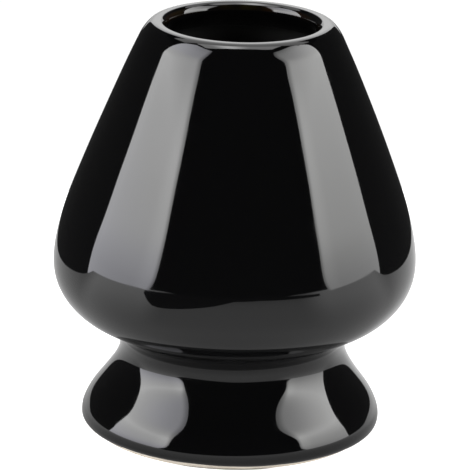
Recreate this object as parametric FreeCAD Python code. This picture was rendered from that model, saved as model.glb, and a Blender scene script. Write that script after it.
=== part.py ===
import FreeCAD, Part
import os
from math import asin, atan2, cos, degrees, hypot, radians, sin, sqrt, tan

# A tea whisk holder: a hollow clay bell luted onto a flared clay foot, under black glaze.
# Lengths are millimetres and leans are degrees. Z is the axis, and the foot stands on Z = 0.

# The whole, measured over the glaze
total_height = 70.0
glaze_thickness = 0.4

# Rim and mouth
rim_radius = 17.0
rim_wall = 4.45
flank_lean = 25.1

# Bell
belly_radius = 30.4
belly_height = 29.3
shoulder_lean = 19.3
underside_lean = -38.9
bell_wall = 3.8
bell_floor = 5.0
floor_flat_radius = 14.0

# Waist, where the bell is luted onto the foot
waist_radius = 18.85
waist_height = 14.4
slip_thickness = 0.4

# Foot, with the glaze stopping just above the table
foot_radius = 25.05
foot_lip_height = 2.3
flare_lean = 38.0
glaze_line_height = 0.8
glaze_line_inset = 0.74
glaze_line_lean = -44.0
lip_undercut = 1.95
ring_land = 3.4
ring_edge_round = 0.8

# Well under the foot
well_lean = 22.0
well_glaze_line_height = 2.0
foot_web = 4.5
well_flat_radius = 7.0

# Places between two named stations, as shares of the radius and the height that part them
shoulder_shares = (0.171, 0.281)
underside_shares = (0.2, 0.437)
flare_shares = (0.72, 0.666)

# How much of each blend its first arc takes
even_share = 0.5
rim_blend_share = 0.31
shoulder_blend_share = 0.87
waist_upper_blend_share = 0.58
waist_lower_blend_share = 0.28
lip_blend_share = 0.645
floor_blend_share = 0.45
well_blend_share = 0.6

# How far the rim's soft outer edge and its inner round reach, as shares of its wall
rim_edge_width_share = 0.615
rim_edge_drop_share = 0.611
rim_inner_round_share = 0.315
rim_edge_width = rim_edge_width_share * rim_wall
rim_edge_drop = rim_edge_drop_share * rim_wall
rim_inner_round = rim_inner_round_share * rim_wall

# Leans: 0 faces straight out, 90 up, -90 down and 180 towards the axis
out, up, down, inward = 0.0, 90.0, -90.0, 180.0
least_turn = 1e-6


def normal(lean):
    return cos(radians(lean)), sin(radians(lean))


def along(lean):
    return sin(radians(lean)), -cos(radians(lean))


def moved(knot, distance):
    # A knot is (radius, height, lean), and this one lies distance out along its own normal
    radius, height, lean = knot
    outwards, upwards = normal(lean)
    return radius + distance * outwards, height + distance * upwards, lean


def parallel(knots, distance):
    return [moved(knot, distance) for knot in knots]


def round_knot(centre_radius, centre_height, size, lean):
    return moved((centre_radius, centre_height, lean), size)


def between(first, second, shares, lean):
    radius = first[0] + shares[0] * (second[0] - first[0])
    height = first[1] + shares[1] * (second[1] - first[1])
    return radius, height, lean


def blend_knot(first, second, share):
    # Where two arcs meet that leave first and reach second along their own directions.
    # Their tangent lengths are a and b = k a: 2 k (cos turn - 1) a^2 - 2 (v.t1 + k v.t2) a + v.v = 0
    ratio = (1 - share) / share
    step = (second[0] - first[0], second[1] - first[1])
    leave, reach = along(first[2]), along(second[2])
    square = step[0] ** 2 + step[1] ** 2
    forward = step[0] * (leave[0] + ratio * reach[0]) + step[1] * (leave[1] + ratio * reach[1])
    bend = 2 * ratio * (1 - cos(radians(second[2] - first[2])))
    tangent = square / (forward + sqrt(forward ** 2 + bend * square))
    near = [first[i] + tangent * leave[i] for i in (0, 1)]
    far = [second[i] - ratio * tangent * reach[i] for i in (0, 1)]
    radius, height = [near[i] + (far[i] - near[i]) * share for i in (0, 1)]
    lean = degrees(atan2(far[0] - near[0], near[1] - far[1]))
    middle = (first[2] + second[2]) / 2
    return radius, height, middle + (lean - middle + 180) % 360 - 180


def outline(stations):
    # Each station is a knot and the share of its blend to the next one
    knots = []
    for (first, share), (second, _) in zip(stations, stations[1:]):
        knots += [first, blend_knot(first, second, share)]
    return knots + [stations[-1][0]]


def knot_at_height(first, second, height):
    # The knot at a height on the one arc that joins two knots
    size = (first[1] - second[1]) / (sin(radians(first[2])) - sin(radians(second[2])))
    centre = moved(first, -size)
    lean = degrees(asin((height - centre[1]) / size))
    return round_knot(centre[0], centre[1], size, lean)


def point(radius, height):
    return FreeCAD.Vector(radius, 0, height)


def line(first, second):
    return Part.LineSegment(point(*first[:2]), point(*second[:2])).toShape()


def arc(first, second):
    turn = radians(second[2] - first[2])
    if abs(turn) < least_turn:
        return line(first, second)
    chord = hypot(second[0] - first[0], second[1] - first[1])
    middle = [(first[0] + second[0]) / 2, (first[1] + second[1]) / 2, (first[2] + second[2]) / 2]
    crown = moved(middle, chord / 2 * tan(-turn / 4))
    return Part.Arc(point(*first[:2]), point(*crown[:2]), point(*second[:2])).toShape()


def bead(face_end):
    # A half round that ends a coat of glaze, from its face back to the clay
    radius, height, lean = moved(face_end, -glaze_thickness)
    return arc(face_end, (radius, height, lean - 180))


def run(knots):
    return [arc(first, second) for first, second in zip(knots, knots[1:])]


def turned(edges):
    solid = Part.Face(Part.Wire(edges)).revolve(FreeCAD.Vector(0, 0, 0), FreeCAD.Vector(0, 0, 1), 360)
    if solid.Volume < 0:
        solid.reverse()
    return solid


def on_axis(knot):
    return 0.0, knot[1], knot[2]


def outer_face():
    # The glazed outside, from the rim's inner top edge down to the glaze line
    land_start = (rim_radius - rim_wall + rim_inner_round, total_height, up)
    land_end = (rim_radius - rim_edge_width, total_height, up)
    flank = (rim_radius, total_height - rim_edge_drop, flank_lean)
    belly = (belly_radius, belly_height, out)
    waist = (waist_radius, waist_height, out)
    lip = (foot_radius, foot_lip_height, out)
    glaze_line = (foot_radius - glaze_line_inset, glaze_line_height, glaze_line_lean)
    shoulder = between(belly, flank, shoulder_shares, shoulder_lean)
    underside = between(belly, waist, underside_shares, underside_lean)
    flare = between(waist, lip, flare_shares, flare_lean)
    bell = outline([(land_end, rim_blend_share), (flank, even_share), (shoulder, shoulder_blend_share),
                    (belly, even_share), (underside, waist_upper_blend_share), (waist, even_share)])
    foot = outline([(waist, waist_lower_blend_share), (flare, lip_blend_share), (lip, even_share),
                    (glaze_line, even_share)])
    return [land_start] + bell, foot, (shoulder, belly, underside)


def wall_inside(knot):
    # The far side of the bell's wall, which faces the other way
    radius, height, lean = moved(knot, -bell_wall)
    return radius, height, inward + lean


def hollow_face(land_start, outside_knots):
    # The glazed inside of the bell, from the middle of its floor up to the rim's inner top edge
    high, belly, low = [wall_inside(knot) for knot in outside_knots]
    floor_height = waist_height + bell_floor
    floor_edge = (floor_flat_radius, floor_height, up)
    mouth_lean = inward + flank_lean
    mouth = round_knot(land_start[0], total_height - rim_inner_round, rim_inner_round, mouth_lean)
    wall = outline([(floor_edge, floor_blend_share), (low, even_share), (belly, 1 - shoulder_blend_share),
                    (high, even_share), (mouth, even_share)])
    return [on_axis(floor_edge)] + wall + [land_start]


def foot_ring(glaze_line):
    # Bare clay from the outer glaze line, across the ring that stands on the table, to the well's
    bare = moved(glaze_line, -glaze_thickness)
    base_radius = foot_radius - lip_undercut
    chord_lean = degrees(atan2(base_radius - bare[0], bare[1]))
    edge = (base_radius, 0.0, 2 * chord_lean - bare[2])
    inner_edge = (base_radius - ring_land + ring_edge_round, 0.0, down)
    wall_lean = well_lean - inward
    wall_start = round_knot(inner_edge[0], ring_edge_round, ring_edge_round, wall_lean)
    climb = well_glaze_line_height - wall_start[1]
    well_line = (wall_start[0] - climb * tan(radians(well_lean)), well_glaze_line_height, wall_lean)
    return [arc(bare, edge), line(edge, inner_edge)] + run([inner_edge, wall_start, well_line]), well_line


def well_face(well_line):
    # The clay of the well under the foot, from its glaze line to the middle of its roof
    roof_height = waist_height - slip_thickness - foot_web
    roof_edge = (well_flat_radius, roof_height, down)
    return outline([(well_line, well_blend_share), (roof_edge, even_share)]) + [on_axis(roof_edge)]


def bell_body(outside, inside):
    clay_out = parallel(outside, -glaze_thickness)
    clay_in = parallel(inside, -glaze_thickness)
    floor, seam = clay_in[0], clay_out[-1]
    return turned([line(on_axis(seam), floor)] + run(clay_in) + run(clay_out) + [line(seam, on_axis(seam))])


def luting_slip(top, bottom):
    return turned([line(on_axis(top), top), arc(top, bottom), line(bottom, on_axis(bottom)),
                   line(on_axis(bottom), on_axis(top))])


def foot_pedestal(seam, clay_out, ring_edges, well):
    edges = [line(on_axis(seam), seam)] + run([seam] + clay_out) + ring_edges + run(well)
    return turned(edges + [line(well[-1], on_axis(seam))])


def outer_glaze(face):
    clay = parallel(face, -glaze_thickness)
    return turned(run(face) + [bead(face[-1])] + run(clay)[::-1] + [line(clay[0], face[0])])


def liner_glaze(face):
    clay = parallel(face, -glaze_thickness)
    return turned(run(face) + [line(face[-1], clay[-1])] + run(clay)[::-1] + [line(clay[0], face[0])])


def foot_well_glaze(clay):
    face = parallel(clay, glaze_thickness)
    start = (clay[0][0], clay[0][1], clay[0][2] + 180)
    return turned([arc(start, face[0])] + run(face) + [line(face[-1], clay[-1])] + run(clay)[::-1])


def main():
    os.makedirs("parts", exist_ok=True)
    bell_outside, foot_outside, bell_stations = outer_face()
    inside = hollow_face(bell_outside[0], bell_stations)
    clay_foot = parallel(foot_outside, -glaze_thickness)
    slip_top = clay_foot[0]
    slip_bottom = knot_at_height(clay_foot[0], clay_foot[1], waist_height - slip_thickness)
    ring_edges, well_line = foot_ring(foot_outside[-1])
    well = well_face(well_line)
    parts = {
        "bell_body": bell_body(bell_outside, inside),
        "luting_slip": luting_slip(slip_top, slip_bottom),
        "foot_pedestal": foot_pedestal(slip_bottom, clay_foot[1:], ring_edges, well),
        "outer_glaze": outer_glaze(bell_outside + foot_outside[1:]),
        "liner_glaze": liner_glaze(inside),
        "foot_well_glaze": foot_well_glaze(well),
    }
    for name, solid in parts.items():
        solid.exportStep("parts/" + name + ".step")
        print(name, "valid", solid.isValid(), "cubic mm", round(solid.Volume))


main()
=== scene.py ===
from math import atan2, cos, degrees, pi, radians, sin, sqrt, tan

import bpy
import numpy as np
from mathutils import Matrix, Vector


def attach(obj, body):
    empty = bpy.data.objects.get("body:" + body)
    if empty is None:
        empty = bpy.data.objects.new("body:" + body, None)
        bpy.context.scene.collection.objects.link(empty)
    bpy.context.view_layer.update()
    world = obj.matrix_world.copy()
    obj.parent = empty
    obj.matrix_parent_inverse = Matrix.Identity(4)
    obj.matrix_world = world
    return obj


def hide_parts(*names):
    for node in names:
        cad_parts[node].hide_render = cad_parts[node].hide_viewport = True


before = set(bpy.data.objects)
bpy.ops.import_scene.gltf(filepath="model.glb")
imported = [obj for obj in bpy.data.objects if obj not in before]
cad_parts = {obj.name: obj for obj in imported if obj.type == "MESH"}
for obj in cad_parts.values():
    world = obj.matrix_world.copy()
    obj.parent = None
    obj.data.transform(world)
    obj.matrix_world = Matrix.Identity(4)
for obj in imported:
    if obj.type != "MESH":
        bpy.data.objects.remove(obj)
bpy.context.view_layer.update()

# A tea whisk holder: black glaze over a clay bell on a flared clay foot, in a white studio.
# Forms are worked out in millimetres and degrees, and go into the meshes in metres.

mm = 0.001

# The camera as the photograph has it: above level, turned a little, with the pot slightly off centre
camera = {
    "elevation": 17.28,
    "distance": 0.6735,
    "aim": (0.0, 0.0, 0.035),
    "pixelsPerMetre": 5980.0,
    "roll": 1.5,
    "offCentre": (0.6, -10.68),
    "frame": 470,
    "sensor": 36.0,
    "clip": (0.05, 12.0),
}


def placeCamera():
    lens = bpy.data.cameras.new("cameraLens")
    lens.sensor_width = camera["sensor"]
    lens.lens = camera["sensor"] * camera["pixelsPerMetre"] * camera["distance"] / camera["frame"]
    lens.shift_x = -camera["offCentre"][0] / camera["frame"]
    lens.shift_y = camera["offCentre"][1] / camera["frame"]
    lens.clip_start, lens.clip_end = camera["clip"]
    tilt = radians(camera["elevation"])
    back = Vector((0, -cos(tilt), sin(tilt)))
    viewer = bpy.data.objects.new("camera", lens)
    bpy.context.scene.collection.objects.link(viewer)
    turn = (-back).to_track_quat("-Z", "Y").to_matrix().to_4x4()
    roll = Matrix.Rotation(radians(camera["roll"]), 4, "Z")
    viewer.matrix_world = Matrix.Translation(Vector(camera["aim"]) + back * camera["distance"]) @ turn @ roll
    bpy.context.scene.camera = viewer


placeCamera()
bpy.context.scene.view_settings.view_transform = "Standard"
print("camera placed")


# Shader sums: a Wire holds one socket, sums on it add Math nodes, and make adds any other node
class Wire:
    def __init__(self, tree, socket=None):
        self.tree, self.socket = tree, socket

    def make(self, kind, settings={}, sockets={}, out=0):
        node = self.tree.nodes.new("ShaderNode" + kind)
        for name, value in settings.items():
            if name == "stops":
                ramp = node.color_ramp
                while len(ramp.elements) < len(value):
                    ramp.elements.new(1.0)
                for element, (place, colour) in zip(ramp.elements, value):
                    element.position, element.color = place, (*colour, 1.0)
            else:
                setattr(node, name, value)
        for name, value in sockets.items():
            if isinstance(value, Wire):
                self.tree.links.new(value.socket, node.inputs[name])
            else:
                node.inputs[name].default_value = value
        return Wire(self.tree, node.outputs[out])

    def sum(self, operation, *values):
        return self.make("Math", {"operation": operation}, dict(enumerate(values)))

    def __add__(self, other):
        return self.sum("ADD", self, other)

    def __radd__(self, other):
        return self.sum("ADD", other, self)

    def __sub__(self, other):
        return self.sum("SUBTRACT", self, other)

    def __rsub__(self, other):
        return self.sum("SUBTRACT", other, self)

    def __mul__(self, other):
        return self.sum("MULTIPLY", self, other)

    def __rmul__(self, other):
        return self.sum("MULTIPLY", other, self)

    def __truediv__(self, other):
        return self.sum("DIVIDE", self, other)

    def __pow__(self, other):
        return self.sum("POWER", self, other)

    def __abs__(self):
        return self.sum("ABSOLUTE", self)

    def step(self, low, high):
        # 0 below low, 1 above high and a smooth rise between them; low may be the larger
        return self.make("MapRange", {"interpolation_type": "SMOOTHSTEP"}, {0: self, 1: low, 2: high})

    def blend(self, first, second):
        # A colour that goes from first to second as this value goes from 0 to 1
        return self.make("Mix", {"data_type": "RGBA"}, {0: self, 6: colour(first), 7: colour(second)}, 2)


def colour(value):
    return value if isinstance(value, Wire) else (*value, 1.0)


def newMaterial(name):
    material = bpy.data.materials.new(name)
    material.use_nodes = True
    material.node_tree.nodes.clear()
    return material, Wire(material.node_tree)


def connectOutput(start, shader):
    output = start.tree.nodes.new("ShaderNodeOutputMaterial")
    start.tree.links.new(shader.socket, output.inputs["Surface"])


# The outline that the CAD is turned from. A knot is (radius, height, lean): lean 0 faces straight
# out, 90 up, -90 down and 180 towards the axis. A blend is the share of it that its first arc takes.
form = {
    "height": 70.0, "coat": 0.4,
    "rimRadius": 17.0, "rimWall": 4.45, "rimEdgeWidth": 0.615, "rimEdgeDrop": 0.611, "rimInnerRound": 0.315,
    "flankLean": 25.1,
    "bellyRadius": 30.4, "bellyHeight": 29.3, "shoulderLean": 19.3, "undersideLean": -38.9,
    "bellWall": 3.8, "bellFloor": 5.0, "floorFlat": 14.0,
    "waistRadius": 18.85, "waistHeight": 14.4,
    "footRadius": 25.05, "lipHeight": 2.3, "flareLean": 38.0,
    "glazeLineHeight": 0.8, "glazeLineInset": 0.74, "glazeLineLean": -44.0,
    "lipUndercut": 1.95, "ringLand": 3.4, "ringRound": 0.8,
    "slip": 0.4, "wellLean": 22.0, "wellLineHeight": 2.0, "web": 4.5, "wellFlat": 7.0,
    "shoulder": (0.171, 0.281), "underside": (0.2, 0.437), "flare": (0.72, 0.666),
    "rimBlend": 0.31, "shoulderBlend": 0.87, "waistUpperBlend": 0.58, "waistLowerBlend": 0.28,
    "lipBlend": 0.645, "floorBlend": 0.45, "wellBlend": 0.6, "evenBlend": 0.5,
    "rimLand": 0.34, "rimTurns": ((0.5, 32.0), (2.0, 14.0), (1.42, 69.1)),
    "softStep": 0.05, "softWide": 2.2, "softNarrow": 0.3, "softLow": (3.0, 6.0), "softHigh": (66.0, 60.0),
}


def facing(lean):
    return np.cos(np.radians(lean)), np.sin(np.radians(lean))


def moved(knot, distance):
    outwards, upwards = facing(knot[2])
    return knot[0] + distance * outwards, knot[1] + distance * upwards, knot[2]


def parallel(knots, distance):
    return [moved(knot, distance) for knot in knots]


def between(first, second, shares, lean):
    radius = first[0] + shares[0] * (second[0] - first[0])
    height = first[1] + shares[1] * (second[1] - first[1])
    return radius, height, lean


def blendKnot(first, second, share):
    # Where two arcs meet that leave first and reach second along their own directions, with
    # tangent lengths a and k a: 2 k (cos turn - 1) a^2 - 2 (v.t1 + k v.t2) a + v.v = 0
    ratio = (1 - share) / share
    stepR, stepZ = second[0] - first[0], second[1] - first[1]
    leave = (sin(radians(first[2])), -cos(radians(first[2])))
    reach = (sin(radians(second[2])), -cos(radians(second[2])))
    square = stepR ** 2 + stepZ ** 2
    forward = stepR * (leave[0] + ratio * reach[0]) + stepZ * (leave[1] + ratio * reach[1])
    bend = 2 * ratio * (1 - cos(radians(second[2] - first[2])))
    tangent = square / (forward + sqrt(forward ** 2 + bend * square))
    near = [first[i] + tangent * leave[i] for i in (0, 1)]
    far = [second[i] - ratio * tangent * reach[i] for i in (0, 1)]
    lean = degrees(atan2(far[0] - near[0], near[1] - far[1]))
    middle = (first[2] + second[2]) / 2
    return (near[0] + (far[0] - near[0]) * share, near[1] + (far[1] - near[1]) * share,
            middle + (lean - middle + 180) % 360 - 180)


def outline(stations):
    knots = []
    for (first, share), (second, _) in zip(stations, stations[1:]):
        knots += [first, blendKnot(first, second, share)]
    return knots + [stations[-1][0]]


def turnedOn(knot, size, turn):
    # The knot after an arc of a given size and turn
    lean = knot[2] + turn
    return moved((*moved(knot, -size)[:2], lean), size)


def drawOutlines():
    f, even = form, form["evenBlend"]
    innerRound = f["rimInnerRound"] * f["rimWall"]
    seam = (f["rimRadius"] - f["rimWall"] + innerRound, f["height"], 90.0)
    landEnd = (f["rimRadius"] - f["rimEdgeWidth"] * f["rimWall"], f["height"], 90.0)
    flank = (f["rimRadius"], f["height"] - f["rimEdgeDrop"] * f["rimWall"], f["flankLean"])
    belly = (f["bellyRadius"], f["bellyHeight"], 0.0)
    waist = (f["waistRadius"], f["waistHeight"], 0.0)
    lip = (f["footRadius"], f["lipHeight"], 0.0)
    glazeLine = (f["footRadius"] - f["glazeLineInset"], f["glazeLineHeight"], f["glazeLineLean"])
    shoulder = between(belly, flank, f["shoulder"], f["shoulderLean"])
    underside = between(belly, waist, f["underside"], f["undersideLean"])
    flare = between(waist, lip, f["flare"], f["flareLean"])
    outside = [seam] + outline([
        (landEnd, f["rimBlend"]), (flank, even), (shoulder, f["shoulderBlend"]), (belly, even),
        (underside, f["waistUpperBlend"]), (waist, even)])
    outside += outline([
        (waist, f["waistLowerBlend"]), (flare, f["lipBlend"]), (lip, even), (glazeLine, even)])[1:]
    low, middle, high = [(*moved(knot, -f["bellWall"])[:2], 180 + knot[2])
                         for knot in (underside, belly, shoulder)]
    floorEdge = (f["floorFlat"], f["waistHeight"] + f["bellFloor"], 90.0)
    # The rim's inner edge: a short flat, a quick turn, a slower bevel and a quick turn into the mouth
    edges = [(seam[0] - f["rimLand"], *seam[1:])]
    for size, turn in f["rimTurns"]:
        edges.append(turnedOn(edges[-1], size, turn))
    wall = outline([(floorEdge, f["floorBlend"]), (low, even), (middle, 1 - f["shoulderBlend"]),
                    (high, even), (edges[-1], even)])
    inside = [(0.0, *floorEdge[1:])] + wall + edges[-2::-1] + [seam]
    bare = moved(glazeLine, -f["coat"])
    baseRadius = f["footRadius"] - f["lipUndercut"]
    edge = (baseRadius, 0.0, 2 * degrees(atan2(baseRadius - bare[0], bare[1])) - bare[2])
    landInner = (baseRadius - f["ringLand"] + f["ringRound"], 0.0, -90.0)
    wallStart = moved((landInner[0], f["ringRound"], f["wellLean"] - 180), f["ringRound"])
    climb = f["wellLineHeight"] - wallStart[1]
    wellLine = (wallStart[0] - climb * tan(radians(f["wellLean"])), f["wellLineHeight"], f["wellLean"] - 180)
    roofEdge = (f["wellFlat"], f["waistHeight"] - f["slip"] - f["web"], -90.0)
    well = outline([(wellLine, f["wellBlend"]), (roofEdge, even)]) + [(0.0, *roofEdge[1:])]
    return {"outside": outside, "inside": inside, "edge": edge, "landInner": landInner,
            "wallStart": wallStart, "well": well}


def trackAlong(knots, perArc=200, straightBelow=1e-10):
    # Points of each arc: its centre, plus its size along every lean between its two knots. Knots that
    # face the same way are joined by a straight line.
    parts = []
    for (r1, z1, a), (r2, z2, b) in zip(knots, knots[1:]):
        share = np.linspace(0, 1, perArc, endpoint=False)
        (c1, s1), (c2, s2) = facing(a), facing(b)
        square = (c1 - c2) ** 2 + (s1 - s2) ** 2
        if square < straightBelow:
            parts.append((r1 + (r2 - r1) * share, z1 + (z2 - z1) * share, a + (b - a) * share))
            continue
        size = ((r1 - r2) * (c1 - c2) + (z1 - z2) * (s1 - s2)) / square
        lean = a + (b - a) * share
        c, s = facing(lean)
        parts.append((r1 + size * (c - c1), z1 + size * (s - s1), lean))
    r, z, lean = [np.concatenate([part[i] for part in parts] + [[knots[-1][i]]]) for i in (0, 1, 2)]
    run = np.concatenate([[0], np.cumsum(np.hypot(np.diff(r), np.diff(z)))])
    return {"run": run, "r": r, "z": z, "lean": lean, "length": run[-1]}


def blurred(values, spread, spreads=4):
    # A bell-shaped blur along evenly spaced values that keeps both end values where they are
    reach = int(spreads * spread) + 1
    weights = np.exp(-0.5 * (np.arange(-reach, reach + 1) / spread) ** 2)
    padded = np.pad(values, reach, "reflect", reflect_type="odd")
    return np.convolve(padded, weights / weights.sum(), "valid")


def rising(value, low, high):
    # 0 at low, 1 at high and a straight rise between them; low may be the larger
    return np.clip((value - low) / (high - low), 0, 1)


def eased(share):
    # The same rise with a gentle start and end
    return share * share * (3 - 2 * share)


def soften(track):
    # 2 blur(p) - blur(blur(p)) evens out the jumps in curvature between arcs, which show in the gloss,
    # and hardly moves the outline: a wide blur for bell and foot, a narrow one at the rim and the lip
    run = np.arange(0, track["length"], form["softStep"])
    height = np.interp(run, track["run"], track["z"])
    share = eased(rising(height, *form["softLow"]) * rising(height, *form["softHigh"]))
    placed = []
    for key in ("r", "z"):
        values = np.interp(run, track["run"], track[key])
        soft = []
        for spread in (form["softNarrow"], form["softWide"]):
            once = blurred(values, spread / form["softStep"])
            soft.append(2 * once - blurred(once, spread / form["softStep"]))
        placed.append(soft[0] + (soft[1] - soft[0]) * share)
    r, z = placed
    r = r + smoothly(z, untrue["height"], untrue["fuller"]) * rising(run, 0, untrue["seamReach"])
    run = np.concatenate([[0], np.cumsum(np.hypot(np.diff(r), np.diff(z)))])
    lean = np.degrees(np.unwrap(np.arctan2(np.gradient(r, run), -np.gradient(z, run))))
    return {"run": run, "r": r, "z": z, "lean": lean, "length": run[-1]}


def at(track, run):
    return tuple(np.interp(run, track["run"], track[key]) for key in ("r", "z", "lean"))


def runAtHeight(track, height):
    # The first place where the track has come down to a height
    return track["run"][np.argmax(track["z"] <= height)]


def spacing(track, start, end, rows, stepLength, stepTurn):
    # Rows that come closer where the outline turns: even steps of length plus weighted turning
    measure = track["run"] / stepLength + np.concatenate(
        [[0], np.cumsum(np.abs(np.diff(track["lean"])))]) / stepTurn
    ends = np.interp([start, end], track["run"], measure)
    return np.interp(np.linspace(ends[0], ends[1], rows), measure, track["run"])


# Nothing thrown is quite true: how far the pot's middle sways to the right at each height, and how
# much fuller than the drawn outline it is there, which begins over a short reach from the rim's seam
untrue = {
    "height": (0.0, 3.0, 6.0, 9.0, 12.0, 14.4, 17.0, 20.0, 25.0,
               29.3, 34.0, 40.0, 48.0, 56.0, 62.0, 66.0, 70.0),
    "sway": (-0.22, -0.12, 0.0, 0.05, 0.08, -0.02, -0.17, -0.20, -0.12,
             0.0, 0.07, 0.13, 0.21, 0.26, 0.24, 0.22, 0.24),
    "fuller": (0.0, 0.04, 0.10, 0.10, 0.10, 0.08, 0.14, 0.18, 0.11,
               0.0, 0.0, 0.0, -0.05, -0.08, -0.04, -0.02, 0.0),
    "seamReach": 3.0,
}


def smoothly(z, heights, values):
    # Through the given values, with an even slope at each height (Hermite cubics)
    heights, values = np.array(heights), np.array(values)
    slope = np.gradient(values, heights)
    i = np.clip(np.searchsorted(heights, z) - 1, 0, len(heights) - 2)
    gap = heights[i + 1] - heights[i]
    t = np.clip((z - heights[i]) / gap, 0, 1)
    return ((2 * t ** 3 - 3 * t ** 2 + 1) * values[i] + (t ** 3 - 2 * t ** 2 + t) * gap * slope[i]
            + (3 * t ** 2 - 2 * t ** 3) * values[i + 1] + (t ** 3 - t ** 2) * gap * slope[i + 1])


def allRound(count):
    return np.linspace(0, 2 * pi, count, endpoint=False)


def ripples(turn, run, waves):
    # A sum of cosines round the axis and along the outline, moved so that its highest place is 0 and
    # it only takes away from the coat, by the sum of the depths at most
    total = sum(wave["depth"] for wave in waves)
    value = sum(wave["depth"] * np.cos(wave["lobes"] * turn + 2 * pi * run / wave["pitch"] + wave["start"])
                for wave in waves)
    return total * (0.5 + 0.5 * value / total)


def wander(turn, waves):
    # How far an edge strays, as a sum of cosines of (lobes, depth, start) round the axis
    return sum(depth * np.cos(lobes * turn + start) for lobes, depth, start in waves)


def grooves(run, pitch, turn=0.0):
    # From 1 to 0 and back in each pitch; with the turn added they climb like a screw thread
    return 0.5 + 0.5 * np.cos(2 * pi * run / pitch + turn)


def turnedMesh(name, r, z, loop=False, startHeight=None, endHeight=None, corners=()):
    # A point is (r cos turn, r sin turn, z) for each row and turn; the grid closes round the axis,
    # and along the rows it closes on itself or on one pole at each end. Shading breaks at corner rows.
    rows, turns = r.shape
    turn = allRound(turns)
    z = np.clip(z, 0, form["height"])
    sway = smoothly(z, untrue["height"], untrue["sway"])
    points = np.stack([r * np.cos(turn) + sway, r * np.sin(turn), z], axis=-1).reshape(-1, 3) * mm
    i = np.arange(rows if loop else rows - 1)[:, None]
    j = np.arange(turns)[None, :]
    below, beside = (i + 1) % rows, (j + 1) % turns
    quads = np.stack([i * turns + j, below * turns + j, below * turns + beside, i * turns + beside], -1)
    faces = quads.reshape(-1, 4).tolist()
    side = np.arange(turns)
    after = (side + 1) % turns
    if startHeight is not None:
        points = np.vstack([points, [[0, 0, startHeight * mm]]])
        faces += np.stack([np.full(turns, len(points) - 1), side, after], -1).tolist()
    if endHeight is not None:
        points = np.vstack([points, [[0, 0, endHeight * mm]]])
        last = (rows - 1) * turns
        faces += np.stack([last + side, np.full(turns, len(points) - 1), last + after], -1).tolist()
    mesh = bpy.data.meshes.new(name)
    mesh.from_pydata(points, [], faces)
    mesh.polygons.foreach_set("use_smooth", np.ones(len(mesh.polygons), bool))
    ends = np.empty(len(mesh.edges) * 2, np.int32)
    mesh.edges.foreach_get("vertices", ends)
    first, second = ends[0::2] // turns, ends[1::2] // turns
    mesh.edges.foreach_set("use_edge_sharp", (first == second) & np.isin(first, corners))
    mesh.update()
    return mesh


def addPiece(name, mesh, material, node):
    piece = bpy.data.objects.new(name, mesh)
    bpy.context.scene.collection.objects.link(piece)
    mesh.materials.append(material)
    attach(piece, "root")
    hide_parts(node)


def rolledEnd(clay, run, depth, rows, firstSwing, lastSwing):
    # Half an ellipse between a face and the clay: swing 0 lies on the face, pi and -pi on the clay
    swing = np.linspace(firstSwing, lastSwing, rows + 2)[1:-1][:, None]
    r, z, lean = at(clay, run)
    c, s = facing(lean)
    out, onward = depth / 2 * (1 + np.cos(swing)), depth / 2 * np.sin(swing)
    return r + out * c + onward * s, z + out * s - onward * c


lines = drawOutlines()
clayOutside = soften(trackAlong(parallel(lines["outside"], -form["coat"]) + [lines["edge"]]))

# The outer coat: dipped glaze over bell and foot, a hair uneven, rolled at its lower edge
outerCoat = {
    "rows": 210, "backRows": 44, "beadRows": 9, "turns": 352,
    "faceSteps": (0.9, 3.0), "backSteps": (2.5, 8.0),
    "waves": (
        {"lobes": 2, "depth": 0.018, "pitch": 90.0, "start": 0.6},
        {"lobes": 3, "depth": 0.012, "pitch": -55.0, "start": 2.1},
        {"lobes": 5, "depth": 0.006, "pitch": 38.0, "start": 4.0},
        {"lobes": 9, "depth": 0.0022, "pitch": 21.0, "start": 1.2},
        {"lobes": 16, "depth": 0.0011, "pitch": -13.0, "start": 5.1},
        {"lobes": 0, "depth": 0.0010, "pitch": 5.2, "start": 0.0},
    ),
    "line": ((1, 0.22, -1.05), (2, 0.05, 2.0), (5, 0.045, 1.0), (11, 0.03, 3.3), (23, 0.018, 0.2)),
    "lineReach": 2.6, "lineShift": -0.30, "seamReach": 1.0,
    "rollHeight": 0.10, "rollWidth": 0.55, "rollPlace": 0.45,
}


def buildOuterCoat(material):
    coat, thick, clay = outerCoat, form["coat"], clayOutside
    end = runAtHeight(clay, moved(lines["outside"][-1], -thick)[1])
    turn = allRound(coat["turns"])
    # How far the lower edge lies past its mean
    shift = coat["lineShift"] + wander(turn, coat["line"])

    def slid(run):
        return run + shift * eased(rising(run, end - coat["lineReach"], end))

    face = spacing(clay, 0, end, coat["rows"], *coat["faceSteps"])[:, None]
    low = ripples(turn, face, coat["waves"]) * rising(face, end, end - coat["lineReach"])
    roll = coat["rollHeight"] * np.exp(-((end - face - coat["rollPlace"]) / coat["rollWidth"]) ** 2)
    # The seam with the inside coat stays where it is, so the two coats meet there
    depth = thick + (roll - low) * eased(rising(face, 0, coat["seamReach"]))
    faceR, faceZ, _ = moved(at(clay, slid(face)), depth)
    beadR, beadZ = rolledEnd(clay, slid(np.full((1, 1), end)), depth[-1:], coat["beadRows"], 0, pi)
    back = spacing(clay, 0, end, coat["backRows"], *coat["backSteps"])[::-1][:, None]
    backR, backZ, _ = at(clay, slid(back))
    r, z = np.vstack([faceR, beadR, backR]), np.vstack([faceZ, beadZ, backZ])
    mesh = turnedMesh("outerGlaze", r, z, loop=True, corners=(0, len(r) - 1))
    addPiece("outerGlaze", mesh, material, "outer_glaze")


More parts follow.
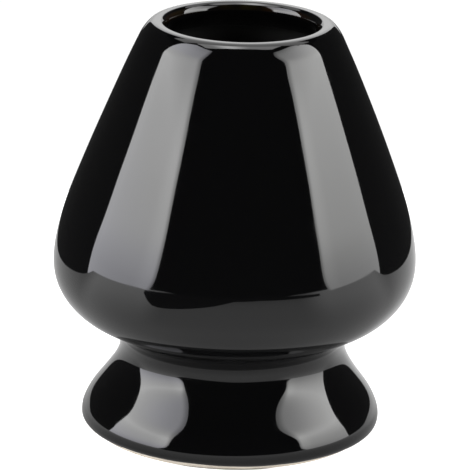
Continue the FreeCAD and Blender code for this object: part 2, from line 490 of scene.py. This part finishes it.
# The inside coat: poured glaze over faint throwing rings, from the floor up to the rim's seam
insideCoat = {
    "rows": 170, "backRows": 40, "turns": 256,
    "faceSteps": (0.8, 4.0), "backSteps": (2.5, 8.0), "seamReach": 1.5, "hollow": 0.03,
    "ringDepth": 0.05, "ringPitch": 3.1, "ringTop": 44.0, "ringFade": 18.0, "ringMiddle": 6.0,
    "waves": (
        {"lobes": 2, "depth": 0.015, "pitch": 60.0, "start": 1.4},
        {"lobes": 5, "depth": 0.006, "pitch": -31.0, "start": 0.3},
        {"lobes": 11, "depth": 0.003, "pitch": 17.0, "start": 2.6},
    ),
}


def buildInsideCoat(material):
    coat, thick = insideCoat, form["coat"]
    clay = trackAlong(parallel(lines["inside"], -thick))
    length = clay["length"]
    turn = allRound(coat["turns"])
    face = spacing(clay, 0, length, coat["rows"] + 1, *coat["faceSteps"])[1:, None]
    r, z, lean = at(clay, face + 0 * turn)
    fade = rising(z, coat["ringTop"], coat["ringTop"] - coat["ringFade"]) * rising(r, 0, coat["ringMiddle"])
    rings = coat["ringDepth"] * fade * grooves(face, coat["ringPitch"], turn)
    settle = rising(face, length, length - coat["seamReach"])
    depth = thick - (rings + ripples(turn, face, coat["waves"])) * settle
    faceR, faceZ, _ = moved((r, z, lean), depth)
    back = spacing(clay, 0, length, coat["backRows"] + 1, *coat["backSteps"])[1:][::-1][:, None]
    backR, backZ, _ = at(clay, back + 0 * turn)
    floorHeight = form["waistHeight"] + form["bellFloor"]
    mesh = turnedMesh("insideGlaze", np.vstack([faceR, backR]), np.vstack([faceZ, backZ]),
                      startHeight=floorHeight - coat["hollow"], endHeight=floorHeight - thick,
                      corners=(coat["rows"] - 1, coat["rows"]))
    addPiece("insideGlaze", mesh, material, "liner_glaze")


# The bell's clay, shut in between the two coats
bellClay = {"outerRows": 90, "innerRows": 70, "turns": 160, "steps": (2.0, 6.0)}


def buildBellClay(material):
    clay = bellClay
    inner = trackAlong(parallel(lines["inside"], -form["coat"]))
    waist = runAtHeight(clayOutside, form["waistHeight"])
    placed = [at(track, spacing(track, 0, end, rows + 1, *clay["steps"])[1:])
              for track, end, rows in ((inner, inner["length"], clay["innerRows"]),
                                       (clayOutside, waist, clay["outerRows"]))]
    r, z = [np.concatenate([place[i] for place in placed])[:, None] + np.zeros(clay["turns"]) for i in (0, 1)]
    mesh = turnedMesh("bellClay", r, z, startHeight=inner["z"][0], endHeight=z[-1, 0])
    addPiece("bellClay", mesh, material, "bell_body")


# The coat in the well under the foot, brushed in, with a wandering edge above the bare ring
wellCoat = {
    "rows": 90, "backRows": 26, "beadRows": 7, "turns": 224,
    "faceSteps": (0.6, 4.0), "backSteps": (2.0, 8.0), "hollow": 0.02,
    "edgeReach": 2.4, "edgeShift": 0.35,
    "edge": ((2, 0.16, 1.1), (3, 0.10, 3.0), (7, 0.06, 0.5), (17, 0.03, 2.2)),
    "ringDepth": 0.016, "ringPitch": 3.4, "ringStart": 3.0, "ringMiddle": 4.0,
}


def buildWellCoat(material):
    coat, thick = wellCoat, form["coat"]
    clay = trackAlong(lines["well"])
    length = clay["length"]
    turn = allRound(coat["turns"])
    shift = coat["edgeShift"] + wander(turn, coat["edge"])

    def slid(run):
        return run + shift * eased(rising(run, coat["edgeReach"], 0))

    face = spacing(clay, 0, length, coat["rows"] + 1, *coat["faceSteps"])[:-1, None]
    r, z, lean = at(clay, slid(face))
    fade = rising(face, 0, coat["ringStart"]) * rising(r, 0, coat["ringMiddle"])
    depth = thick - coat["ringDepth"] * fade * grooves(face, coat["ringPitch"], turn)
    faceR, faceZ, _ = moved((r, z, lean), depth)
    beadR, beadZ = rolledEnd(clay, slid(np.zeros((1, 1))), depth[:1], coat["beadRows"], -pi, 0)
    back = spacing(clay, 0, length, coat["backRows"] + 1, *coat["backSteps"])[:-1][::-1][:, None]
    backR, backZ, _ = at(clay, slid(back))
    roof = lines["well"][-1][1]
    # One closed skin: down the clay from the middle of the roof, round the edge, and up the face
    mesh = turnedMesh("wellGlaze", np.vstack([backR, beadR, faceR]), np.vstack([backZ, beadZ, faceZ]),
                      startHeight=roof, endHeight=roof - thick + coat["hollow"])
    addPiece("wellGlaze", mesh, material, "foot_well_glaze")


# The clay foot, seen where it is bare: the edge under the glaze line, the ring and the well's rim.
# Trimming marks and grit only cut into the clay, and fade out upwards, where it is under glaze.
clayFoot = {
    "turns": 320, "outerRows": 110, "ringRows": 70, "wellRows": 80,
    "outerSteps": (0.5, 3.0), "ringSteps": (0.2, 4.0), "wellSteps": (0.7, 4.0),
    "seed": 7, "grit": 0.012, "trimDepth": 0.02, "trimPitch": 0.9, "trimShift": 100.0, "fade": (2.4, 1.4),
}


def buildClayFoot(material):
    clay, outer = clayFoot, clayOutside
    slipBottom = form["waistHeight"] - form["slip"]
    start = runAtHeight(outer, slipBottom)
    ring = trackAlong([lines["edge"][:2] + (-90.0,), lines["landInner"], lines["wallStart"],
                       lines["well"][0]])
    well = trackAlong(lines["well"])
    runs = [(outer, spacing(outer, start, outer["length"], clay["outerRows"], *clay["outerSteps"])),
            (ring, spacing(ring, 0, ring["length"], clay["ringRows"], *clay["ringSteps"])[1:]),
            (well, spacing(well, 0, well["length"], clay["wellRows"], *clay["wellSteps"])[1:-1])]
    placed = [at(track, run) for track, run in runs]
    r, z, lean = [np.concatenate([place[i] for place in placed])[:, None] for i in (0, 1, 2)]
    travel = np.concatenate([run + clay["trimShift"] * i for i, (_, run) in enumerate(runs)])[:, None]
    marks = clay["trimDepth"] * grooves(travel, clay["trimPitch"])
    noise = np.random.default_rng(clay["seed"]).normal(size=(len(r), clay["turns"]))
    beside = np.roll(noise, 1, 1) + np.roll(noise, -1, 1) + np.roll(noise, 1, 0) + np.roll(noise, -1, 0)
    cut = rising(z, *clay["fade"]) * (marks + clay["grit"] * np.abs((noise + beside) / 5))
    cutR, cutZ, _ = moved((r, z, lean), -cut)
    mesh = turnedMesh("clayFoot", cutR, np.maximum(cutZ, 0),
                      startHeight=slipBottom, endHeight=lines["well"][-1][1])
    addPiece("clayFoot", mesh, material, "foot_pedestal")


# A noise is (cells in a metre, detail, roughness and, if it isn't even, its squeeze along Z)
def addNoise(place, scale, detail, rough, squeeze=1.0):
    if squeeze != 1.0:
        place = place.make("Mapping", {}, {"Vector": place, "Scale": (1.0, 1.0, squeeze)})
    return place.make("TexNoise", {}, {"Vector": place, "Scale": scale, "Detail": detail, "Roughness": rough})


# Specks are (cells in a metre, how high a cell's random shade has to be, where a speck ends in it)
def addSpecks(place, scale, chosen, size):
    cells = {"Vector": place, "Scale": scale}
    shade = place.make("TexVoronoi", {}, cells, "Color")
    pick = place.make("SeparateColor", {}, {0: shade}, 0).step(*chosen)
    return pick * place.make("TexVoronoi", {}, cells, "Distance").step(*size)


# Black glaze: deep black where it lies thick, breaking to brown where it thins over an edge. A pair
# is where a change starts and where it ends, in metres or as a level of noise.
glaze = {
    "black": (0.0031, 0.0031, 0.0033), "brown": (0.020, 0.0085, 0.0035), "olive": (0.011, 0.0095, 0.003),
    "tint": (95.0, 1.0, 0.5), "tintPatches": (0.4, 0.6),
    "lipBottom": (0.0686, 0.0690), "lipTop": (0.0698, 0.0695), "lipRadius": (0.0132, 0.0129),
    "drift": (260.0, 3.0, 0.5), "lipPatches": (0.35, 0.65), "glossPatches": (0.45, 0.75),
    "edgeTop": (0.0016, 0.0007), "edge": (700.0, 2.0, 0.5), "edgePatches": (0.3, 0.7), "edgeShare": 0.8,
    "roughness": 0.035, "roughnessSpread": 0.03, "ior": 1.5,
    "swell": (110.0, 1.0, 0.4, 0.6), "swellDepth": 6.0e-6, "peel": (900.0, 2.0, 0.5), "peelDepth": 0.35e-6,
    "pinholes": (150.0, (0.972, 0.976), (0.03, 0.009)), "pinholeDepth": 12e-6, "pinholeRoughness": 0.3,
    "deepTop": (0.0675, 0.064), "deepBlack": (0.0135, 0.0135, 0.0130), "deepRoughness": 0.55,
}


def makeGlaze(name, inside):
    # With inside at 1 the glaze is duller and less black deep in the bell
    material, start = newMaterial(name)
    place = start.make("TexCoord", out="Object")
    x, y, z = [start.make("SeparateXYZ", {}, {0: place}, axis) for axis in (0, 1, 2)]
    radius = (x * x + y * y) ** 0.5
    drift = addNoise(place, *glaze["drift"])
    lip = z.step(*glaze["lipBottom"]) * z.step(*glaze["lipTop"]) * radius.step(*glaze["lipRadius"])
    lip = lip * drift.step(*glaze["lipPatches"])
    rolled = z.step(*glaze["edgeTop"]) * addNoise(place, *glaze["edge"]).step(*glaze["edgePatches"])
    thin = addNoise(place, *glaze["tint"]).step(*glaze["tintPatches"]).blend(glaze["brown"], glaze["olive"])
    deep = inside * z.step(*glaze["deepTop"])
    base = deep.blend(glaze["black"], glaze["deepBlack"])
    base = lip.sum("MAXIMUM", lip, rolled * glaze["edgeShare"]).blend(base, thin)
    pit = addSpecks(place, *glaze["pinholes"])
    swell, peel = addNoise(place, *glaze["swell"]), addNoise(place, *glaze["peel"])
    height = swell * glaze["swellDepth"] + peel * glaze["peelDepth"] - pit * glaze["pinholeDepth"]
    bump = start.make("Bump", {}, {"Strength": 1.0, "Distance": 1.0, "Height": height})
    roughness = glaze["roughness"] + glaze["roughnessSpread"] * drift.step(*glaze["glossPatches"])
    roughness = roughness + pit * glaze["pinholeRoughness"] + deep * glaze["deepRoughness"]
    shader = start.make("BsdfPrincipled", {}, {"Base Color": base, "Roughness": roughness,
                                               "IOR": glaze["ior"], "Normal": bump})
    connectOutput(start, shader)
    return material


# Cream clay, matt and gritty, toasted brown by the fire close to the glaze
cream = {
    "light": (0.60, 0.55, 0.48), "dark": (0.46, 0.41, 0.35), "slipShade": 0.86,
    "cloud": (160.0, 3.0, 0.55), "grit": (2600.0, 3.0, 0.7), "cloudShare": 0.6, "patches": (0.35, 0.65),
    "toast": (0.26, 0.17, 0.10), "toastHeight": (0.00085, 0.00135), "toastDrift": 0.0006, "toastShare": 0.75,
    "speck": (0.12, 0.08, 0.06), "specks": (1100.0, (0.95, 0.96), (0.28, 0.16)), "speckShare": 0.8,
    "roughness": 0.78, "gritRoughness": 0.14, "gritDepth": 22e-6, "specular": 0.3,
}


def makeClay(name, shade):
    material, start = newMaterial(name)
    place = start.make("TexCoord", out="Object")
    z = start.make("SeparateXYZ", {}, {0: place}, 2)
    cloud, grit = addNoise(place, *cream["cloud"]), addNoise(place, *cream["grit"])
    dark, light = [[value * shade for value in cream[key]] for key in ("dark", "light")]
    mix = cloud * cream["cloudShare"] + grit * (1 - cream["cloudShare"])
    base = mix.step(*cream["patches"]).blend(dark, light)
    toast = (z + (cloud - 0.5) * cream["toastDrift"]).step(*cream["toastHeight"])
    base = (toast * cream["toastShare"]).blend(base, cream["toast"])
    base = (addSpecks(place, *cream["specks"]) * cream["speckShare"]).blend(base, cream["speck"])
    bump = start.make("Bump", {}, {"Strength": 1.0, "Distance": 1.0, "Height": grit * cream["gritDepth"]})
    roughness = cream["roughness"] + cream["gritRoughness"] * grit
    shader = start.make("BsdfPrincipled", {}, {"Base Color": base, "Roughness": roughness,
                                               "Specular IOR Level": cream["specular"], "Normal": bump})
    connectOutput(start, shader)
    return material


blackGlaze = makeGlaze("blackGlaze", 0.0)
pouredGlaze = makeGlaze("pouredGlaze", 1.0)
bareClay = makeClay("bareClay", 1.0)
firedSlip = makeClay("firedSlip", cream["slipShade"])
print("glaze, clay and slip mixed")

buildOuterCoat(blackGlaze)
buildInsideCoat(pouredGlaze)
buildWellCoat(blackGlaze)
buildBellClay(bareClay)
buildClayFoot(bareClay)
print("three coats, the bell and the foot turned")

# The slip is shut in at the waist, and stays as the CAD has it
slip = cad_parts["luting_slip"]
slip.data.materials.clear()
slip.data.materials.append(firedSlip)

# The studio, in metres. Boxes and the paper behind are seen only in the glaze. A box stands round
# the pot at one distance, and its edges are bearings from the front, negative to the left, at evenly
# spaced heights from its foot to its top, with the heights in degrees above level. Its light is given
# as (share of the way up, strength, how blue). In most other pairs a change starts at the first value
# and ends at the second. The dark sheet of painted shadow on the table is given by its corners, and a
# lamp by its name, place, size and power.
studio = {
    "centre": 0.035, "boxDistance": 0.6, "grid": 60, "sharp": 0.001, "brightest": 10.0,
    "leftBox": {"outer": (-102.0, -99.2, -98.6, -99.9, -92.5), "inner": (-57.5, -48.0, -47.4, -46.4, -49.0),
                "low": -8.0, "high": 58.0, "round": 0.16, "lean": 0.24, "dim": (0.5, 0.94, 0.86),
                "light": ((0.0, 3.9, 0.07), (0.12, 4.5, 0.07), (0.24, 5.6, 0.05), (0.42, 7.0, 0.0),
                          (0.485, 7.8, 0.0), (0.545, 6.9, 0.0), (0.61, 6.5, 0.01), (0.73, 6.2, 0.06),
                          (0.85, 5.7, 0.07), (1.0, 4.3, 0.07))},
    "rightBox": {"outer": (101.0, 99.6, 102.0, 108.0, 104.0), "inner": (65.5, 55.2, 54.8, 49.2, 54.0),
                 "low": -8.0, "high": 57.0, "round": 0.18, "lean": 0.38, "dim": (0.5, 0.94, 0.86),
                 "light": ((0.0, 2.9, 0.0), (0.12, 3.5, 0.0), (0.245, 4.45, -0.01), (0.37, 5.8, -0.01),
                           (0.49, 7.2, -0.01), (0.555, 6.95, -0.01), (0.615, 6.5, -0.01),
                           (0.74, 6.1, 0.0), (0.86, 5.3, 0.0), (0.92, 4.5, 0.0), (1.0, 2.9, 0.0))},
    "boxShade": {"leanAcross": (0.1, 1.0), "leanUp": (0.5, 0.75), "ridge": 0.10,
                 "ridgeAcross": (0.70, 0.90), "ridgeUp": (0.75, 0.4), "dimUp": (0.4, 0.65)},
    "overhead": {"low": (-0.30, -0.165), "high": (0.25, 0.085), "round": 0.2, "height": 0.6,
                 "dim": 3.2, "bright": 8.4, "streak": 0.405, "streakWidth": 0.26, "streakUp": (0.95, 0.6),
                 "end": 0.6, "endUp": (1.0, 0.75)},
    "paper": {"width": 0.215, "near": 0.085, "far": 0.72, "height": 0.6, "bend": 0.12,
              "wide": 0.44, "wideEnd": (0.20, 0.27), "above": 1.6, "behind": 2.0, "foot": 1.0,
              "behindUp": (0.35, 0.6), "footUp": (0.74, 0.92), "flatRows": 20, "bendRows": 16, "columns": 9},
    "room": {"strength": 0.03, "distance": 1.6, "bearings": (8, 125), "rises": (-40, 40),
             "columns": 40, "rows": 9},
    "table": {"centre": (0.045, -0.330), "half": (0.430, 0.470), "sides": 180, "rings": 30,
              "innermost": 0.02, "albedo": 0.8, "white": 1.02, "contact": 0.85,
              "contactOuter": (0.0234, 0.0232), "contactInner": (0.0228, 0.0230),
              "contactLeft": 0.001, "contactHalf": (0.0095, 0.0055)},
    "mirrored": {"left": -0.368, "slant": 0.486, "right": 0.72, "front": -0.85, "rear": 0.045,
                 "rearSlope": 0.03, "bulge": 0.095, "bulgeCentre": 0.022, "bulgeWidth": 0.156,
                 "bulgePower": 3, "columns": 120, "rows": 24, "even": 0.76, "fall": 0.22,
                 # The reflected table's light drops round the foot as a painted shadow of the pot, and rises
                 # towards the boxes as painted light
                 "fallReach": (0.1, 0.5), "foot": 0.60, "footShadowReach": (0.022, 0.048),
                 "glowStart": 0.045, "glowSpread": 0.08, "leftGlow": ((-102, -88), (-38, -55), 1.62),
                 "rightGlow": ((38, 59), (106, 92), 1.27), "rearBearing": (90, 120), "rearGlow": 0.22},
    # Corners of a dark sheet: a painted shadow on the table in front of the pot
    "shadowSheet": ((-0.46, -0.32), (-0.30, -0.208), (-0.134, -0.111), (-0.096, -0.091), (-0.083, -0.090),
             (-0.075, -0.098), (-0.066, -0.120), (-0.047, -0.192), (0.000, -0.450), (0.15, -0.50),
             (0.25, -0.34), (0.30, -0.23), (0.42, -0.32), (0.6, -1.2), (-0.7, -1.2)),
    "shadowSheetHeight": 0.0005, "shadowSheetShade": (0.02, 0.02, 0.02, 1.0),
    "backdrop": {"distance": 3.0, "strength": 1.05, "columns": 49, "rows": 25},
    "lamps": (("leftLamp", (-0.7, -0.35, 0.45), 0.5, 3.6), ("rightLamp", (0.75, -0.3, 0.45), 0.5, 3.4),
              ("topLamp", (0.0, 0.25, 0.9), 0.7, 4.0)),
}
white = (1.0, 1.0, 1.0, 1.0)


def stageObject(name, points, faces, material, seen=False, glossy=True, diffuse=False, shadow=False):
    mesh = bpy.data.meshes.new(name)
    mesh.from_pydata(points, [], faces)
    mesh.materials.append(material)
    thing = bpy.data.objects.new(name, mesh)
    bpy.context.scene.collection.objects.link(thing)
    thing.visible_camera, thing.visible_glossy, thing.visible_diffuse = seen, glossy, diffuse
    thing.visible_transmission = thing.visible_volume_scatter = False
    thing.visible_shadow = shadow
    return thing


def gridFaces(rows, columns):
    corner = (np.arange(rows - 1)[:, None] * columns + np.arange(columns - 1)[None, :]).reshape(-1)
    return np.stack([corner, corner + 1, corner + columns + 1, corner + columns], -1).tolist()


def squareGrid(rounding):
    # Even steps across and up from 0 to 1, with the four corners drawn in to quarter circles
    step = np.linspace(-1, 1, studio["grid"])
    across, up = np.meshgrid(step, step)
    inner = 1 - 2 * rounding
    spareAcross, spareUp = np.maximum(np.abs(across) - inner, 0), np.maximum(np.abs(up) - inner, 0)
    reach = np.maximum(np.hypot(spareAcross, spareUp) / (2 * rounding), 1)
    across = np.sign(across) * (np.minimum(np.abs(across), inner) + spareAcross / reach)
    up = np.sign(up) * (np.minimum(np.abs(up), inner) + spareUp / reach)
    return (across.reshape(-1) + 1) / 2, (up.reshape(-1) + 1) / 2


def through(values, share):
    # The one smooth curve through evenly spaced values
    return np.polyval(np.polyfit(np.linspace(0, 1, len(values)), values, len(values) - 1), share)


def keepShares(thing, across, up):
    for name, values in (("across", across), ("up", up)):
        thing.data.attributes.new(name, "FLOAT", "POINT").data.foreach_set("value", values.astype(np.float32))


def glow(name, lightOf):
    material, start = newMaterial(name)
    across, up = [start.make("Attribute", {"attribute_name": key}, {}, "Fac") for key in ("across", "up")]
    tint, strength = lightOf(across, up)
    connectOutput(start, start.make("Emission", {}, {"Color": tint, "Strength": strength}))
    return material


def evenGlow(name, strength, tint=white):
    material, start = newMaterial(name)
    connectOutput(start, start.make("Emission", {}, {"Color": tint, "Strength": strength}))
    return material


def hangBox(name, box):
    # Only the top corner away from the front is round; the foot and the inner edge run straight on
    shade = studio["boxShade"]
    across, up = squareGrid(box["round"])
    flatAcross, flatUp = squareGrid(studio["sharp"])
    far = (flatAcross < 0.5) & (flatUp > 0.5)
    across, up = np.where(far, across, flatAcross), np.where(far, up, flatUp)
    bearing = np.radians((1 - across) * through(box["outer"], up) + across * through(box["inner"], up))
    rise = np.radians(box["low"] + up * (box["high"] - box["low"]))
    reach = studio["boxDistance"]
    points = np.stack([reach * np.sin(bearing), -reach * np.cos(bearing),
                       studio["centre"] + reach * np.tan(rise)], -1)

    def lightOf(across, up):
        # A bluer light has less red and green, so that the mean of the three stays the same
        stops = []
        for share, level, blue in box["light"]:
            part = level / studio["brightest"]
            stops.append((share, (part * (1 - blue / 3), part * (1 - blue / 3), part * (1 + blue / 1.5))))
        lamp = up.make("ValToRGB", {"stops": stops}, {0: up})
        slope = 1.0 - across.step(*shade["leanAcross"]) * up.step(*shade["leanUp"]) * box["lean"]
        ridge = 1.0 + across.step(*shade["ridgeAcross"]) * up.step(*shade["ridgeUp"]) * shade["ridge"]
        dim, low, high = box["dim"]
        edge = across.step(1.0, low + (high - low) * up.step(*shade["dimUp"]))
        return lamp, slope * ridge * (dim + (1 - dim) * edge) * studio["brightest"]

    faces = gridFaces(studio["grid"], studio["grid"])
    keepShares(stageObject(name, points, faces, glow(name + "Glow", lightOf)), across, up)


def hangOverhead():
    box = studio["overhead"]
    across, up = squareGrid(box["round"])
    points = np.stack([box["low"][0] + across * (box["high"][0] - box["low"][0]),
                       box["low"][1] + up * (box["high"][1] - box["low"][1]), 0 * up + box["height"]], -1)

    def lightOf(across, up):
        streak = abs(across - box["streak"]).step(box["streakWidth"], 0.0) * up.step(*box["streakUp"])
        level = box["dim"] + (box["bright"] - box["dim"]) * streak
        return white, level * (box["end"] + (1 - box["end"]) * up.step(*box["endUp"]))

    faces = gridFaces(studio["grid"], studio["grid"])
    keepShares(stageObject("overheadBox", points, faces, glow("overheadGlow", lightOf)), across, up)


def hangPaper():
    # White paper hangs behind the pot and bends forward over it, where it is wider
    paper = studio["paper"]
    far, height, bend = paper["far"], paper["height"], paper["bend"]
    turn = np.linspace(0, pi / 2, paper["bendRows"])
    y = np.concatenate([np.linspace(paper["near"], far - bend, paper["flatRows"])[:-1],
                        far - bend * (1 - np.sin(turn)), [far]])
    z = np.concatenate([np.full(paper["flatRows"] - 1, height), height - bend * (1 - np.cos(turn)), [0.0]])
    run = np.concatenate([[0], np.cumsum(np.hypot(np.diff(y), np.diff(z)))])
    across, up = np.linspace(0, 1, paper["columns"]), run / run[-1]
    half = np.interp(up, paper["wideEnd"], (paper["wide"], paper["width"]))[:, None]
    points = np.stack([half * (2 * across - 1), y[:, None] + 0 * across, z[:, None] + 0 * across], -1)

    def lightOf(across, up):
        level = paper["above"] + (paper["behind"] - paper["above"]) * up.step(*paper["behindUp"])
        return white, level * (1.0 - up.step(*paper["footUp"]) * (1 - paper["foot"] / paper["behind"]))

    faces = gridFaces(len(y), paper["columns"])
    thing = stageObject("whitePaper", points.reshape(-1, 3), faces, glow("paperGlow", lightOf))
    keepShares(thing, np.tile(across, len(y)), np.repeat(up, paper["columns"]))


def hangSurroundings():
    # The dim room to both sides and behind, round the boxes and the paper, in bearings from behind
    room = studio["room"]
    turn, rise = np.meshgrid(np.radians(np.linspace(*room["bearings"], room["columns"])),
                             np.radians(np.linspace(*room["rises"], room["rows"])))
    for name, side in (("dimLeft", -1), ("dimRight", 1)):
        points = np.stack([side * np.sin(turn) * np.cos(rise), np.cos(turn) * np.cos(rise), np.sin(rise)], -1)
        stageObject(name, room["distance"] * points.reshape(-1, 3), gridFaces(room["rows"], room["columns"]),
                    evenGlow(name, room["strength"]))


def layTable():
    # The table that the camera sees: an oval made of rings
    table = studio["table"]
    sides = table["sides"]
    rings = np.linspace(table["innermost"], 1, table["rings"])[:, None]
    x = table["centre"][0] + table["half"][0] * rings * np.cos(allRound(sides))
    y = table["centre"][1] + table["half"][1] * rings * np.sin(allRound(sides))
    inner, across = np.arange(table["rings"] - 1)[:, None] * sides, np.arange(sides)[None, :]
    beside = (across + 1) % sides
    faces = np.stack([inner + across, inner + sides + across, inner + sides + beside, inner + beside], -1)
    faces = faces.reshape(-1, 4).tolist() + [list(range(sides))]
    points = np.stack([x, y, 0 * x], -1).reshape(-1, 3)
    material, start = newMaterial("whiteTable")
    place = start.make("TexCoord", out="Object")
    x, y = [start.make("SeparateXYZ", {}, {0: place}, axis) for axis in (0, 1)]
    reach = (x * x + y * y) ** 0.5
    # A thin shadow lies where the ring of clay touches the table
    touching = reach.step(*table["contactOuter"]) * reach.step(*table["contactInner"])
    touching = touching * abs(x + table["contactLeft"]).step(*table["contactHalf"])
    unshaded = 1.0 - touching * table["contact"]
    paper = start.make("BsdfDiffuse", {}, {"Color": unshaded * table["albedo"]})
    shine = start.make("Emission", {}, {"Strength": unshaded * table["white"]})
    lit = start.make("AddShader", {}, {0: paper, 1: shine})
    # Seen from below, the table lets the camera through to the foot
    below = start.make("NewGeometry", out="Backfacing")
    connectOutput(start, start.make("MixShader", {}, {0: below, 1: lit, 2: start.make("BsdfTransparent")}))
    stageObject("tableTop", points, faces, material, seen=True, glossy=False, diffuse=True, shadow=True)


def layMirroredTable():
    # In the glaze the table is darker, with a painted shadow of the pot round the foot and painted light
    # towards each box. It runs out to the boxes, along a slanting line on the left, and its rear edge lies at
    # rear + rearSlope x + bulge exp(-|(x - bulgeCentre) / bulgeWidth|^bulgePower)
    table = studio["mirrored"]
    x = np.linspace(table["left"], table["right"], table["columns"])[None, :]
    off = np.abs((x - table["bulgeCentre"]) / table["bulgeWidth"])
    back = table["rear"] + table["rearSlope"] * x + table["bulge"] * np.exp(-off ** table["bulgePower"])
    y = table["front"] + (back - table["front"]) * np.linspace(0, 1, table["rows"])[:, None]
    out = (table["right"] - x) / (table["right"] - table["left"])
    x = x - out * table["slant"] * (back - y)
    points = np.stack([x, y, 0 * y], -1).reshape(-1, 3)
    material, start = newMaterial("tableInGlaze")
    place = start.make("TexCoord", out="Object")
    x, y = [start.make("SeparateXYZ", {}, {0: place}, axis) for axis in (0, 1)]
    reach = (x * x + y * y) ** 0.5
    bearing = x.sum("ARCTAN2", x, y * -1.0)

    def turning(limits):
        return bearing.step(*[radians(limit) for limit in limits])

    past = reach - table["glowStart"]
    away = past.sum("MAXIMUM", past, 0.0) / (reach + table["glowSpread"])
    # Painted light from each box brightens the table towards it; the table is also lighter towards the right
    # rear
    left, right = [turning(first) * turning(second) * strength
                   for first, second, strength in (table["leftGlow"], table["rightGlow"])]
    rear = turning(table["rearBearing"]) * table["rearGlow"]
    level = table["even"] * (1.0 - table["fall"] * reach.step(*table["fallReach"]))
    strength = level + rear + (left + right) * away
    # Painted shadow of the pot: close round the foot the table's light drops to the foot share
    strength = strength * (table["foot"] + (1 - table["foot"]) * reach.step(*table["footShadowReach"]))
    connectOutput(start, start.make("Emission", {}, {"Strength": strength}))
    stageObject("tableInGlaze", points, gridFaces(table["rows"], table["columns"]), material)


def layPaintedShadowSheet():
    # A dark sheet on the table in front of the pot is a painted shadow there, and keeps the middle of the
    # bell black
    corners = np.array(studio["shadowSheet"])
    points = np.column_stack([corners, np.full(len(corners), studio["shadowSheetHeight"])])
    stageObject("paintedShadowSheet", points, [list(range(len(corners)))[::-1]],
                evenGlow("paintedShadowSheet", 1.0, studio["shadowSheetShade"]))


def hangBackdrop():
    far = studio["backdrop"]
    turn, rise = np.meshgrid(np.linspace(0, 2 * pi, far["columns"]),
                             np.linspace(-pi / 2, pi / 2, far["rows"]))
    points = np.stack([np.cos(turn) * np.cos(rise), np.sin(turn) * np.cos(rise), np.sin(rise)], -1)
    stageObject("backdrop", far["distance"] * points.reshape(-1, 3), gridFaces(far["rows"], far["columns"]),
                evenGlow("whiteBackdrop", far["strength"]), seen=True, glossy=False)


def addLamp(name, place, size, power):
    light = bpy.data.lights.new(name, "AREA")
    light.shape, light.size, light.energy = "DISK", size, power
    lamp = bpy.data.objects.new(name, light)
    bpy.context.scene.collection.objects.link(lamp)
    turn = (-Vector(place)).to_track_quat("-Z", "Y").to_matrix().to_4x4()
    lamp.matrix_world = Matrix.Translation(place) @ turn
    lamp.visible_glossy = False
    lamp.visible_camera = False


hangBox("leftBox", studio["leftBox"])
hangBox("rightBox", studio["rightBox"])
hangOverhead()
hangPaper()
hangSurroundings()
layTable()
layMirroredTable()
layPaintedShadowSheet()
hangBackdrop()
for lamp in studio["lamps"]:
    addLamp(*lamp)
print("studio lit")
